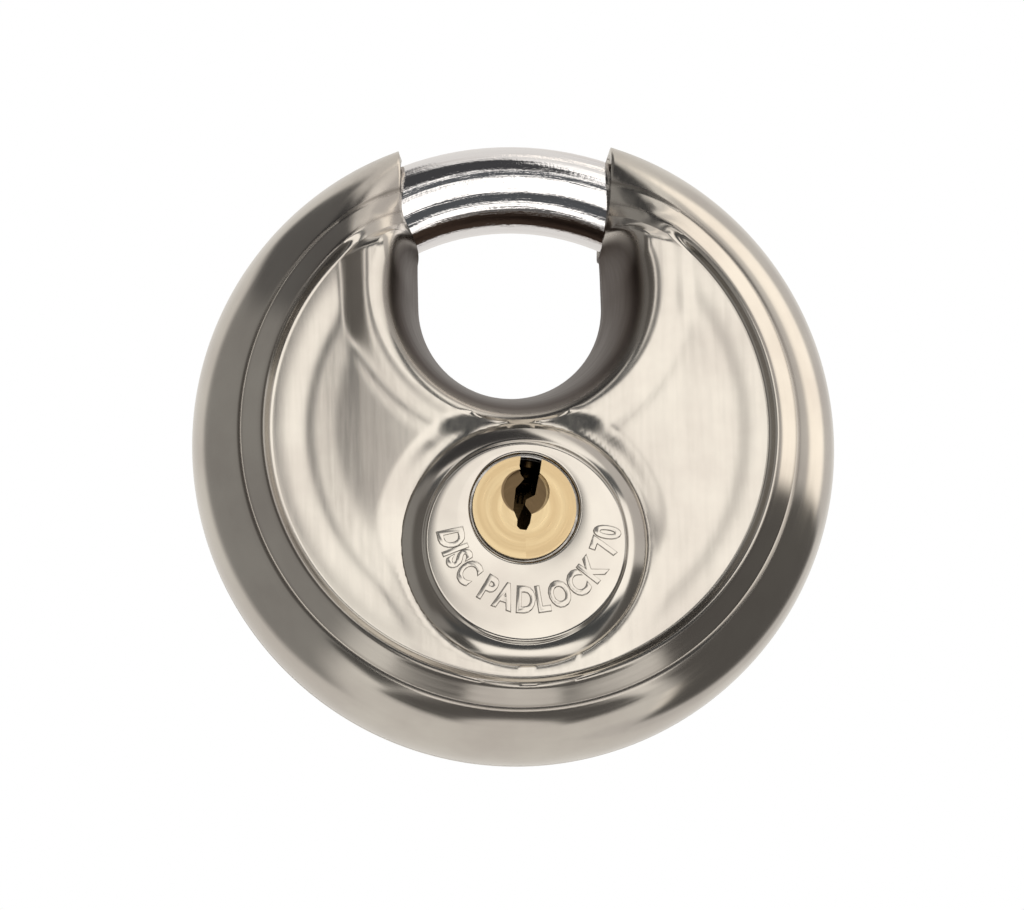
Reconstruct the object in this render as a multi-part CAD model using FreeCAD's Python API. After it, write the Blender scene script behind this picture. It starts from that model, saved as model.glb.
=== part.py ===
import FreeCAD, Part
import math
import os

# Round shrouded padlock, millimetres. Drawn about the centre of the disc: X to the right, Y to the back, Z up.
# At the end every piece drops by HANG_HEIGHT, so that the origin lies under the shackle, where the lock hangs.

# Disc and its two pressed shells
DISC_R = 35.0
WALL = 1.15
RIM_ARC_R = 11.9
CREASE_ANGLE = 54.6
SHOULDER_R = 27.4
FACE_DEPTH = 12.0
PANEL_DEPTH = 11.0
PANEL_R = 26.5
STEP_WALL = 0.7

# U-shaped notch, seen from the front
NOTCH_HALF = 10.0
NOTCH_CENTRE_Z = 15.2
NOTCH_LEAN = 1.2
NOTCH_SIDE_HEIGHT = 22.0
NOTCH_FLARE = 3.7
LIP_HALF = 16.5
LIP_CENTRE_Z = 16.2
SADDLE_HALF = 7.0
SADDLE_LOW = -4.0
SADDLE_HIGH = 4.0

# Round boss that carries the keyhole
BOSS_Z = -12.5
BOSS_BASE_R = 13.15
BOSS_TOP_R = 10.8
BOSS_DEPTH = 13.2
KEYHOLE_R = 5.8

# Horns, the two ends of the body that the shackle runs between
HORN_DEPTH = 6.3
HORN_X = 11.0
HORN_Z = 26.0
HORN_SLOPE_X = 1.05
HORN_SLOPE_Z = 0.8
HORN_TUBE_R = 6.0
HORN_START = 15.0
HORN_END = 46.0

# Shackle: a round bar bent to an arc about the centre of the disc
BAR_R = 4.75
BAR_PATH_R = 28.55
BAR_START = -30.5
BAR_TAIL = 10.0
BAR_CHAMFER = 1.1
BORE_R = 4.95
HANG_HEIGHT = BAR_PATH_R - BAR_R

# Lock cylinder
PLUG_Z = -8.9
PLUG_R = 5.5
PLUG_FACE = 13.0
PLUG_BACK = 1.0
PLATE_R = 9.7
PLATE_FRONT = 12.0
PLATE_BACK = 11.1
FLANGE_R = 6.3
FLANGE_FRONT = 11.05
FLANGE_BACK = 10.5
RUN = 0.06
HOUSING_R = 7.7
HOUSING_FRONT = 10.45
HOUSING_BACK = 0.6
EAR_R = 10.6
EAR_THICK = 1.2
TOWER_HALF = 1.9
TOWER_TOP = 8.9
COVER_THICK = 0.5
KEYWAY_TILT = 9.0
KEYWAY_BACK = 0.2
RECESS_R = 2.45
RECESS_DEPTH = 1.0
RECESS_RISE = 1.7

# Pins, springs
PIN_R = 1.0
PIN_HOLE_R = 1.06
PIN_DEPTHS = (9.0, 6.4, 3.8, 1.2)
KEY_PIN_TIPS = (4.35, 3.7, 4.0, 3.5)
KEY_PIN_CONE = 0.5
KEY_PIN_TIP_R = 0.4
SHEAR_GAP = 0.03
DRIVER_LENGTH = 1.25
SPRING_WIRE_R = 0.13
SPRING_MEAN_R = 0.8
SPRING_TURNS = 3
CHAMBER_FLOOR = 2.5

# Crank on the back of the plug and the fork on the shackle that it drives
CRANK = 8.0
CRANK_ANGLE = 60.0
TENON_R = 3.0
TENON_FLAT = 2.2
TENON_BACK = 3.15
CAM_FRONT = 1.35
CAM_BACK = 3.2
CAM_HUB_R = 4.4
CAM_TIP_R = 2.7
CRANK_PIN_R = 1.4
CRANK_PIN_BACK = 7.4
ROLLER_R = 2.2
ROLLER_FRONT = 3.45
ROLLER_BACK = 6.15
CLIP_R = 2.3
CLIP_GROOVE_R = 1.05
CLIP_FRONT = 6.35
CLIP_THICK = 0.5
WASHER_R = 3.3
WASHER_THICK = 0.35
SCREW_HEAD_R = 2.1
SCREW_HEAD_THICK = 0.85
SCREW_SHANK_R = 1.2
SCREW_DEPTH = 0.9
ARM_FRONT = 3.6
ARM_BACK = 6.0
ARM_INNER_R = 13.0
ARM_OUTER_R = 31.2
ARM_HALF = 4.6
FORK_HALF = 2.29
FORK_END_R = 19.4
RIVET_R = 1.25
RIVET_ANGLES = (-5.0, 5.0)
RIVET_PATH_R = 28.0
RIVET_FRONT = 3.5
FLAT_TURN = 11.5

# Cast inner body
FIT = 0.15
CAST_DEPTH = 9.6
CAST_TOP = 17.5
GROOVE_START = -35.0
GROOVE_END = 223.0
ARM_POCKET_START = 128.0
ARM_POCKET_END = 233.0
ARM_POCKET_BACK = 7.8
ARM_POCKET_INNER_R = 10.5
CAM_POCKET_R = 11.2
CAM_POCKET_TOP = 5.2
DOWEL_X = 17.5
DOWEL_Z = -2.0
DOWEL_R = 1.5
DOWEL_HALF = 4.0
EAR_SCREW_X = 9.1
EAR_SCREW_R = 0.8
EAR_HEAD_R = 1.3
EAR_HEAD_THICK = 0.7
EAR_SCREW_LENGTH = 5.5
EAR_SCREW_Z = -9.6

BIG = 60.0
EPS = 0.05

V = FreeCAD.Vector
CENTRE = V(0, 0, 0)
AXIS_Y = V(0, 1, 0)
PLUG_CENTRE = V(0, 0, PLUG_Z)

# Locked: the crank stands CRANK_ANGLE to the right of straight down, and the fork points at it from the centre
CRANK_X = CRANK * math.sin(math.radians(CRANK_ANGLE))
CRANK_Z = PLUG_Z - CRANK * math.cos(math.radians(CRANK_ANGLE))
ARM_ANGLE = 180.0 - math.degrees(math.atan2(CRANK_X, -CRANK_Z))
BAR_END = ARM_ANGLE + BAR_TAIL


def rod(radius, y_from, y_to, x=0.0, z=0.0):
    """A cylinder along Y."""
    return Part.makeCylinder(radius, y_to - y_from, V(x, y_from, z), AXIS_Y)


def box(x_from, x_to, y_from, y_to, z_from, z_to):
    return Part.makeBox(x_to - x_from, y_to - y_from, z_to - z_from, V(x_from, y_from, z_from))


def turned(shape, degrees, centre=CENTRE):
    """A copy turned about Y, clockwise seen from the front."""
    copy = shape.copy()
    copy.rotate(centre, AXIS_Y, degrees)
    return copy


def prism(points, y_from, y_to):
    """A closed outline of (x, z) points, carried along Y."""
    corners = [V(x, y_from, z) for x, z in points]
    outline = Part.makePolygon(corners + corners[:1])
    return Part.Face(outline).extrude(V(0, y_to - y_from, 0))


def swept(section, start, end):
    """A flat section that stands above the centre, turned about Y from one angle to another."""
    face = turned(section, start)
    return face.revolve(CENTRE, AXIS_Y, end - start)


def ring_section(path_r, radius):
    circle = Part.Wire([Part.makeCircle(radius, V(0, 0, path_r), V(1, 0, 0))])
    return Part.Face(circle)


def sector(r_in, r_out, y_from, y_to, start, end):
    section = Part.makePolygon([V(0, y_from, r_in), V(0, y_to, r_in), V(0, y_to, r_out),
                                V(0, y_from, r_out), V(0, y_from, r_in)])
    return swept(Part.Face(section), start, end)


def mirrored(shape):
    """The same piece on the other side of the middle plane."""
    return shape.mirror(CENTRE, AXIS_Y)


def notch_wire(y, half):
    """The U outline at one depth: two leaning sides and a half round."""
    top_x = half + NOTCH_LEAN * NOTCH_SIDE_HEIGHT / (DISC_R - NOTCH_CENTRE_Z)
    top_z = NOTCH_CENTRE_Z + NOTCH_SIDE_HEIGHT
    left = V(-half, y, NOTCH_CENTRE_Z)
    right = V(half, y, NOTCH_CENTRE_Z)
    bottom = V(0, y, NOTCH_CENTRE_Z - half)
    edges = [Part.makeLine(V(-top_x, y, top_z), left),
             Part.Arc(left, bottom, right).toShape(),
             Part.makeLine(right, V(top_x, y, top_z)),
             Part.makeLine(V(top_x, y, top_z), V(-top_x, y, top_z))]
    return Part.Wire(edges)


def notch(grow):
    """The notch through the front half, wider towards the face."""
    deep = FACE_DEPTH + BOSS_DEPTH
    face_half = NOTCH_HALF + grow + NOTCH_FLARE * deep / FACE_DEPTH
    return Part.makeLoft([notch_wire(0, NOTCH_HALF + grow), notch_wire(-deep, face_half)], True, True)


def disc_profile(shrink, face_depth):
    """Half of the disc's section: rim arc, crease, sloping band, flat face."""
    arc_r = RIM_ARC_R - shrink
    arc_centre = DISC_R - RIM_ARC_R
    half_turn = math.radians(CREASE_ANGLE / 2)
    full_turn = math.radians(CREASE_ANGLE)
    rim = V(0, 0, arc_centre + arc_r)
    middle = V(0, -arc_r * math.sin(half_turn), arc_centre + arc_r * math.cos(half_turn))
    crease = V(0, -arc_r * math.sin(full_turn), arc_centre + arc_r * math.cos(full_turn))
    shoulder = V(0, -face_depth, SHOULDER_R - shrink * 0.4)
    edges = [Part.Arc(rim, middle, crease).toShape(),
             Part.makeLine(crease, shoulder),
             Part.makeLine(shoulder, V(0, -face_depth, 0)),
             Part.makeLine(V(0, -face_depth, 0), CENTRE),
             Part.makeLine(CENTRE, rim)]
    return Part.Face(Part.Wire(edges))


def panel_pockets(shrink):
    """Two crescents pressed into the face, between the rim, the lip of the notch and the boss."""
    step = STEP_WALL if shrink > 0 else 0.0
    floor = PANEL_DEPTH - shrink
    disc = rod(PANEL_R + step, -BIG, -floor)
    lip_half = LIP_HALF - step
    lip = rod(lip_half, -BIG, 0, 0, LIP_CENTRE_Z)
    lip = lip.fuse(box(-lip_half, lip_half, -BIG, 0, LIP_CENTRE_Z, BIG))
    saddle = box(-SADDLE_HALF, SADDLE_HALF, -BIG, 0, SADDLE_LOW, SADDLE_HIGH)
    boss_foot = rod(BOSS_BASE_R - step, -BIG, 0, 0, BOSS_Z)
    return disc.cut(lip).cut(saddle).cut(boss_foot)


def boss(shrink):
    depth = BOSS_DEPTH - shrink
    base_r = BOSS_BASE_R - shrink * STEP_WALL
    top_r = BOSS_TOP_R - shrink * STEP_WALL
    start = PANEL_DEPTH - shrink - 1.0
    return Part.makeCone(base_r, top_r, depth - start, V(0, -start, BOSS_Z), V(0, -1, 0))


def horn_limit(side, shrink):
    """The space in front of one horn, bounded by the plane that the horn slopes down along."""
    points = []
    for x, z in ((0, -BIG), (BIG, -BIG), (BIG, BIG), (0, BIG)):
        depth = HORN_DEPTH - shrink + HORN_SLOPE_X * (x - HORN_X) + HORN_SLOPE_Z * (HORN_Z - z)
        points.append(V(side * x, -depth, z))
    plane = Part.Face(Part.makePolygon(points + points[:1]))
    return plane.extrude(V(0, -4 * BIG, 0))


def half_disc(shrink):
    """The solid form of the front half of the lock, drawn in from its outer face by the given amount."""
    body = disc_profile(shrink, FACE_DEPTH - shrink).revolve(CENTRE, AXIS_Y, 360)
    body = body.cut(panel_pockets(shrink))
    for side in (-1, 1):
        body = body.cut(horn_limit(side, shrink))
    if shrink == 0:
        for side in (-1, 1):
            ends = sorted((side * HORN_START, side * HORN_END))
            tube = swept(ring_section(BAR_PATH_R, HORN_TUBE_R), *ends)
            body = body.fuse(tube.common(box(-BIG, BIG, -BIG, 0, 0, BIG)))
    body = body.fuse(boss(shrink))
    return body.cut(notch(shrink)).removeSplitter()


def shackle_bore():
    return swept(ring_section(BAR_PATH_R, BORE_R), 0, 360)


def largest(shape):
    return max(shape.Solids, key=lambda solid: solid.Volume)


def shell(with_keyhole):
    pressed = half_disc(0).cut(half_disc(WALL)).cut(shackle_bore())
    if with_keyhole:
        pressed = pressed.cut(rod(KEYHOLE_R, -BIG, 0, 0, PLUG_Z))
    return largest(pressed)


def cast_half():
    """One cast half of the inner body, without its pockets: it fills a shell and leaves a groove for the bar."""
    shrink = WALL + FIT
    body = disc_profile(shrink, CAST_DEPTH).revolve(CENTRE, AXIS_Y, 360)
    body = body.cut(notch(shrink))
    body = body.cut(box(-BIG, BIG, -BIG, BIG, CAST_TOP, BIG))
    groove = swept(ring_section(BAR_PATH_R, BORE_R + FIT), GROOVE_START, GROOVE_END)
    open_side = sector(BAR_PATH_R, DISC_R + EPS, -BORE_R - FIT, BORE_R + FIT, GROOVE_START, GROOVE_END)
    body = body.cut(groove).cut(open_side)
    for side in (-1, 1):
        body = body.cut(rod(DOWEL_R, -DOWEL_HALF, DOWEL_HALF, side * DOWEL_X, DOWEL_Z))
    return body


def cylinder_space():
    """The room that the cylinder takes in the cast body."""
    back = HOUSING_BACK + FIT
    half = TOWER_HALF + FIT
    tower = box(-half, half, -BIG, back, PLUG_Z, PLUG_Z + TOWER_TOP + FIT)
    ears = rod(EAR_R + FIT, HOUSING_BACK - EAR_THICK - FIT, back, 0, PLUG_Z)
    ears = ears.common(box(-BIG, BIG, -BIG, BIG, -BIG, PLUG_Z + CAM_POCKET_TOP))
    space = rod(HOUSING_R + FIT, -BIG, back, 0, PLUG_Z).fuse(ears)
    return space.fuse(turned(tower, KEYWAY_TILT, PLUG_CENTRE))


def inner_body_front():
    body = cast_half().cut(cylinder_space())
    for x in (-EAR_SCREW_X, EAR_SCREW_X):
        body = body.cut(rod(EAR_SCREW_R, -EAR_SCREW_LENGTH, 0, x, EAR_SCREW_Z))
    return largest(body)


def inner_body_rear():
    body = mirrored(cast_half()).cut(cylinder_space())
    cam_sweep = rod(CAM_POCKET_R, 0, ARM_FRONT, 0, PLUG_Z)
    cam_sweep = cam_sweep.common(box(-BIG, BIG, -EPS, BIG, -BIG, PLUG_Z + CAM_POCKET_TOP))
    arm_sweep = sector(ARM_POCKET_INNER_R, DISC_R, 0, ARM_POCKET_BACK, ARM_POCKET_START, ARM_POCKET_END)
    hub_room = rod(PLUG_R + 2 * FIT, 0, CAM_BACK + WASHER_THICK + SCREW_HEAD_THICK + 2 * FIT, 0, PLUG_Z)
    return largest(body.cut(cam_sweep).cut(arm_sweep).cut(hub_room))


def dowel(side):
    return rod(DOWEL_R, -DOWEL_HALF + EPS, DOWEL_HALF - EPS, side * DOWEL_X, DOWEL_Z)


def pin_holes(radius, low, high):
    """Upright holes through the row of pins, turned with the keyway."""
    holes = [Part.makeCylinder(radius, high - low, V(0, -depth, PLUG_Z + low)) for depth in PIN_DEPTHS]
    return turned(Part.makeCompound(holes), KEYWAY_TILT, PLUG_CENTRE)


def cylinder_housing():
    body = rod(HOUSING_R, -HOUSING_FRONT, HOUSING_BACK, 0, PLUG_Z)
    tower_top = PLUG_Z + TOWER_TOP - COVER_THICK
    tower = box(-TOWER_HALF, TOWER_HALF, -HOUSING_FRONT, HOUSING_BACK, PLUG_Z, tower_top)
    body = body.fuse(turned(tower, KEYWAY_TILT, PLUG_CENTRE))
    ears = rod(EAR_R, HOUSING_BACK - EAR_THICK, HOUSING_BACK, 0, PLUG_Z)
    body = body.fuse(ears.common(box(-BIG, BIG, -BIG, BIG, -BIG, PLUG_Z + CAM_POCKET_TOP - FIT)))
    body = body.cut(rod(PLUG_R + RUN, -BIG, BIG, 0, PLUG_Z))
    body = body.cut(rod(FLANGE_R + RUN, -BIG, -FLANGE_BACK + EPS, 0, PLUG_Z))
    body = body.cut(pin_holes(PIN_HOLE_R, PLUG_R - 1.0, BIG))
    for x in (-EAR_SCREW_X, EAR_SCREW_X):
        body = body.cut(rod(EAR_SCREW_R, -BIG, BIG, x, EAR_SCREW_Z))
        body = body.cut(rod(EAR_HEAD_R, HOUSING_BACK - EAR_HEAD_THICK, BIG, x, EAR_SCREW_Z))
    return largest(body)


def housing_screws():
    screws = []
    for x in (-EAR_SCREW_X, EAR_SCREW_X):
        shank = rod(EAR_SCREW_R, -EAR_SCREW_LENGTH, HOUSING_BACK - EAR_HEAD_THICK, x, EAR_SCREW_Z)
        head = rod(EAR_HEAD_R, HOUSING_BACK - EAR_HEAD_THICK, HOUSING_BACK, x, EAR_SCREW_Z)
        screws.append(shank.fuse(head).removeSplitter())
    return Part.makeCompound(screws)


def chamber_cover():
    """The strip that closes the pin chambers over the springs."""
    low = PLUG_Z + TOWER_TOP - COVER_THICK
    strip = box(-TOWER_HALF, TOWER_HALF, -HOUSING_FRONT, HOUSING_BACK, low, low + COVER_THICK)
    return turned(strip, KEYWAY_TILT, PLUG_CENTRE)


def anti_drill_plate():
    """A hardened disc inside the boss, with the plug through it."""
    disc = rod(PLATE_R, -PLATE_FRONT, -PLATE_BACK, 0, BOSS_Z)
    return disc.cut(rod(PLUG_R + RUN, -BIG, 0, 0, PLUG_Z))


# Keyway outline about the plug's axis, upright: down the left side, then up the right side
KEYWAY_LEFT = ((-1.1, 6.0), (-1.1, 4.35), (-0.8, 3.6), (-0.4, 3.2), (-0.7, 2.7), (-1.15, 2.1), (-1.1, -0.5),
               (-0.6, -1.4), (-0.55, -2.1), (-0.2, -2.4))
KEYWAY_RIGHT = ((0.5, -2.4), (0.8, -1.6), (0.85, -0.45), (0.7, -0.25), (0.05, 0.45), (0.1, 1.0), (1.0, 1.65),
                (1.15, 3.85), (1.2, 6.0))


def keyway():
    points = [(x, PLUG_Z + z) for x, z in KEYWAY_LEFT + KEYWAY_RIGHT]
    return turned(prism(points, -BIG, -KEYWAY_BACK), KEYWAY_TILT, PLUG_CENTRE)


def plug():
    body = rod(PLUG_R, -PLUG_FACE, PLUG_BACK, 0, PLUG_Z)
    body = body.fuse(rod(FLANGE_R, -FLANGE_FRONT, -FLANGE_BACK, 0, PLUG_Z))
    flats = box(-BIG, BIG, 0, BIG, PLUG_Z - TENON_FLAT, PLUG_Z + TENON_FLAT)
    tenon = rod(TENON_R, 0, TENON_BACK, 0, PLUG_Z).common(flats)
    body = body.fuse(turned(tenon, -CRANK_ANGLE, PLUG_CENTRE))
    body = body.cut(rod(SCREW_SHANK_R, PLUG_BACK - SCREW_DEPTH, BIG, 0, PLUG_Z))
    recess = rod(RECESS_R, -PLUG_FACE, -PLUG_FACE + RECESS_DEPTH, 0, PLUG_Z + RECESS_RISE)
    body = body.cut(turned(recess, KEYWAY_TILT, PLUG_CENTRE)).cut(keyway())
    return largest(body.cut(pin_holes(PIN_HOLE_R, CHAMBER_FLOOR, PLUG_R + 1.0)))


def key_pin(number):
    """A brass pin whose blunt tip rides on the key and whose flat top lies at the shear line."""
    depth = PIN_DEPTHS[number]
    tip = PLUG_Z + KEY_PIN_TIPS[number]
    shoulder = tip + KEY_PIN_CONE
    top = PLUG_Z + PLUG_R - SHEAR_GAP
    cone = Part.makeCone(KEY_PIN_TIP_R, PIN_R, KEY_PIN_CONE, V(0, -depth, tip))
    barrel = Part.makeCylinder(PIN_R, top - shoulder, V(0, -depth, shoulder))
    return turned(cone.fuse(barrel).removeSplitter(), KEYWAY_TILT, PLUG_CENTRE)


def driver_pin(number):
    low = PLUG_Z + PLUG_R + RUN
    barrel = Part.makeCylinder(PIN_R, DRIVER_LENGTH, V(0, -PIN_DEPTHS[number], low))
    return turned(barrel, KEYWAY_TILT, PLUG_CENTRE)


def pin_spring(number):
    """A small helical spring between the driver pin and the chamber's cover."""
    low = PLUG_Z + PLUG_R + RUN + DRIVER_LENGTH + EPS
    high = PLUG_Z + TOWER_TOP - COVER_THICK - EPS
    height = high - low - 2 * SPRING_WIRE_R
    helix = Part.makeHelix(height / SPRING_TURNS, height, SPRING_MEAN_R)
    start = V(SPRING_MEAN_R, 0, 0)
    section = Part.Wire([Part.makeCircle(SPRING_WIRE_R, start, V(0, 1, 0))])
    coil = Part.Wire(helix.Edges).makePipeShell([section], True, True)
    coil.translate(V(0, -PIN_DEPTHS[number], low + SPRING_WIRE_R))
    return turned(coil, KEYWAY_TILT, PLUG_CENTRE)


def tail_cam():
    """The lever on the plug's tenon that carries the crank pin."""
    hub = rod(CAM_HUB_R, CAM_FRONT, CAM_BACK, 0, PLUG_Z)
    tip = rod(CAM_TIP_R, CAM_FRONT, CAM_BACK, 0, PLUG_Z - CRANK)
    web = prism(((-CAM_HUB_R, PLUG_Z), (CAM_HUB_R, PLUG_Z), (CAM_TIP_R, PLUG_Z - CRANK),
                 (-CAM_TIP_R, PLUG_Z - CRANK)), CAM_FRONT, CAM_BACK)
    lever = hub.fuse(web).fuse(tip).removeSplitter()
    lever = lever.cut(rod(CRANK_PIN_R, 0, BIG, 0, PLUG_Z - CRANK))
    flats = box(-BIG, BIG, 0, BIG, PLUG_Z - TENON_FLAT, PLUG_Z + TENON_FLAT)
    lever = lever.cut(rod(TENON_R, 0, BIG, 0, PLUG_Z).common(flats))
    return turned(lever, -CRANK_ANGLE, PLUG_CENTRE)


def cam_washer():
    washer = rod(WASHER_R, CAM_BACK, CAM_BACK + WASHER_THICK, 0, PLUG_Z)
    return washer.cut(rod(SCREW_SHANK_R, 0, BIG, 0, PLUG_Z))


def cam_screw():
    seat = CAM_BACK + WASHER_THICK
    head = rod(SCREW_HEAD_R, seat, seat + SCREW_HEAD_THICK, 0, PLUG_Z)
    return head.fuse(rod(SCREW_SHANK_R, PLUG_BACK - SCREW_DEPTH, seat, 0, PLUG_Z)).removeSplitter()


def at_crank(radius, y_from, y_to):
    return rod(radius, y_from, y_to, CRANK_X, CRANK_Z)


def crank_pin():
    pin = at_crank(CRANK_PIN_R, CAM_FRONT, CRANK_PIN_BACK)
    groove = at_crank(CRANK_PIN_R + EPS, CLIP_FRONT, CLIP_FRONT + CLIP_THICK)
    return pin.cut(groove.cut(at_crank(CLIP_GROOVE_R, 0, BIG)))


def crank_roller():
    return at_crank(ROLLER_R, ROLLER_FRONT, ROLLER_BACK).cut(at_crank(CRANK_PIN_R + RUN, 0, BIG))


def roller_clip():
    """The open ring in the crank pin's groove."""
    ring = at_crank(CLIP_R, CLIP_FRONT, CLIP_FRONT + CLIP_THICK).cut(at_crank(CLIP_GROOVE_R, 0, BIG))
    half_gap = CLIP_GROOVE_R * 0.8
    return ring.cut(box(CRANK_X, BIG, 0, BIG, CRANK_Z - half_gap, CRANK_Z + half_gap))


def rivet_places():
    places = []
    for offset in RIVET_ANGLES:
        turn = math.radians(ARM_ANGLE + offset)
        places.append((RIVET_PATH_R * math.sin(turn), RIVET_PATH_R * math.cos(turn)))
    return places


def shackle_bar():
    bar = swept(ring_section(BAR_PATH_R, BAR_R), BAR_START, BAR_END)
    free_end = turned(Part.Vertex(V(0, 0, BAR_PATH_R)), BAR_START).Point
    rims = [edge for edge in bar.Edges if edge.Length > BAR_R and edge.CenterOfMass.distanceToPoint(free_end) < EPS]
    bar = bar.makeChamfer(BAR_CHAMFER, rims)
    flat = sector(BAR_PATH_R - BORE_R, BAR_PATH_R + BORE_R, ARM_FRONT, BIG, ARM_ANGLE - FLAT_TURN, BAR_END + 1.0)
    bar = bar.cut(flat)
    for x, z in rivet_places():
        bar = bar.cut(rod(RIVET_R, -RIVET_FRONT, BIG, x, z))
    return bar


def shackle_arm():
    """The plate on the flat of the bar, with an open fork towards the plug."""
    plate = box(-ARM_HALF, ARM_HALF, ARM_FRONT, ARM_BACK, ARM_INNER_R, ARM_OUTER_R)
    wide = sector(BAR_PATH_R - BAR_R, ARM_OUTER_R, ARM_FRONT, ARM_BACK, -9.5, 9.5)
    plate = plate.common(rod(ARM_OUTER_R, 0, BIG)).fuse(wide).removeSplitter()
    slot = box(-FORK_HALF, FORK_HALF, 0, BIG, 0, FORK_END_R - FORK_HALF)
    slot = slot.fuse(rod(FORK_HALF, 0, BIG, 0, FORK_END_R - FORK_HALF))
    arm = turned(plate.cut(slot), ARM_ANGLE)
    for x, z in rivet_places():
        arm = arm.cut(rod(RIVET_R, -BIG, BIG, x, z))
    return arm


def arm_rivets():
    rivets = [rod(RIVET_R, -RIVET_FRONT, ARM_BACK, x, z) for x, z in rivet_places()]
    return Part.makeCompound(rivets)


def all_pieces():
    pieces = {
        "front_shell": shell(True),
        "rear_shell": mirrored(shell(False)),
        "inner_body_front": inner_body_front(),
        "inner_body_rear": inner_body_rear(),
        "dowel_left": dowel(-1),
        "dowel_right": dowel(1),
        "cylinder_housing": cylinder_housing(),
        "housing_screws": housing_screws(),
        "chamber_cover": chamber_cover(),
        "anti_drill_plate": anti_drill_plate(),
        "plug": plug(),
        "tail_cam": tail_cam(),
        "cam_washer": cam_washer(),
        "cam_screw": cam_screw(),
        "crank_pin": crank_pin(),
        "crank_roller": crank_roller(),
        "roller_clip": roller_clip(),
        "shackle_bar": shackle_bar(),
        "shackle_arm": shackle_arm(),
        "arm_rivets": arm_rivets(),
    }
    for number in range(len(PIN_DEPTHS)):
        pieces[f"key_pin_{number + 1}"] = key_pin(number)
        pieces[f"driver_pin_{number + 1}"] = driver_pin(number)
        pieces[f"pin_spring_{number + 1}"] = pin_spring(number)
    return pieces


os.makedirs("parts", exist_ok=True)
for name, piece in all_pieces().items():
    piece.translate(V(0, 0, -HANG_HEIGHT))
    piece.exportStep(f"parts/{name}.step")
    print(name, piece.ShapeType, len(piece.Solids), piece.isValid(), round(piece.Volume, 1))
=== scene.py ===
import math

import bmesh
import bpy
import numpy as np
from mathutils import Matrix, Vector, noise


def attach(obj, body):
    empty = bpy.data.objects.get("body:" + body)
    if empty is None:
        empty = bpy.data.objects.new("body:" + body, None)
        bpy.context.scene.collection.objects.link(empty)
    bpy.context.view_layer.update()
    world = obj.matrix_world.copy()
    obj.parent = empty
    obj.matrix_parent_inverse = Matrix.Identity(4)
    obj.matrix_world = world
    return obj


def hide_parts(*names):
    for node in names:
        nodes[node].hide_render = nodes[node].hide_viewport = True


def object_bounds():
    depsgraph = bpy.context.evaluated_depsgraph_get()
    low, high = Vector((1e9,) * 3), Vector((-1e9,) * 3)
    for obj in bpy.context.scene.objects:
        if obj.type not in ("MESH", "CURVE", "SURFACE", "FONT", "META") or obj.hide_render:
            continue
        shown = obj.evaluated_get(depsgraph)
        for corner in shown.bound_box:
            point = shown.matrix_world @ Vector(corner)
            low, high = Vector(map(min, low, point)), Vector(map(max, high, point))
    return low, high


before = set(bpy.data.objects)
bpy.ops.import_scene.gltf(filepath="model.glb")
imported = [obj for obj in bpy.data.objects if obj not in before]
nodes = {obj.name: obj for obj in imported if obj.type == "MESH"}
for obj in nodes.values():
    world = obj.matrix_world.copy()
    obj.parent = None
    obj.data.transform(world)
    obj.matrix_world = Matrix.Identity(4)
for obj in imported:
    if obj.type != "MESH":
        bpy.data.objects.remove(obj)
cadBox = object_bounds()
mm = 0.001
lockCentreZ = -0.0238  # the disc hangs this far under the frame's origin


def smooth(value, low, high):
    t = np.clip((np.asarray(value, float) - low) / (high - low), 0, 1)
    return t * t * (3 - 2 * t)


def finishMesh(bm, name, body, material, sharpAngle=38):
    mesh = bpy.data.meshes.new(name)
    bm.to_mesh(mesh)
    bm.free()
    mesh.polygons.foreach_set("use_smooth", [True] * len(mesh.polygons))
    mesh.set_sharp_from_angle(angle=math.radians(sharpAngle))
    mesh.materials.append(material)
    piece = bpy.data.objects.new(name, mesh)
    bpy.context.scene.collection.objects.link(piece)
    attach(piece, body)
    return piece


# ---- camera
cameraSet = {"azimuth": -4.0, "elevation": -10.0, "roll": -1.8, "distance": 0.5, "lens": 161.5,
             "shiftX": -0.002, "shiftY": -0.0088}


def makeCamera(values):
    az, el, roll = (math.radians(values[k]) for k in ("azimuth", "elevation", "roll"))
    back = Vector((math.sin(az) * math.cos(el), -math.cos(az) * math.cos(el), math.sin(el)))
    right = Vector((math.cos(az), math.sin(az), 0))
    up = back.cross(right)
    camX = right * math.cos(roll) + up * math.sin(roll)
    camY = up * math.cos(roll) - right * math.sin(roll)
    data = bpy.data.cameras.new("mainCamera")
    data.lens = values["lens"]
    data.sensor_width = 36
    data.clip_start = 0.01
    data.shift_x = values["shiftX"]
    data.shift_y = values["shiftY"]
    camera = bpy.data.objects.new("mainCamera", data)
    turn = Matrix((camX, camY, back)).transposed().to_4x4()
    camera.matrix_world = Matrix.Translation(Vector((0, 0, lockCentreZ)) + back * values["distance"]) @ turn
    bpy.context.scene.collection.objects.link(camera)
    bpy.context.scene.camera = camera


makeCamera(cameraSet)
bpy.context.scene.view_settings.view_transform = "Standard"
print("stage: camera")


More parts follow.
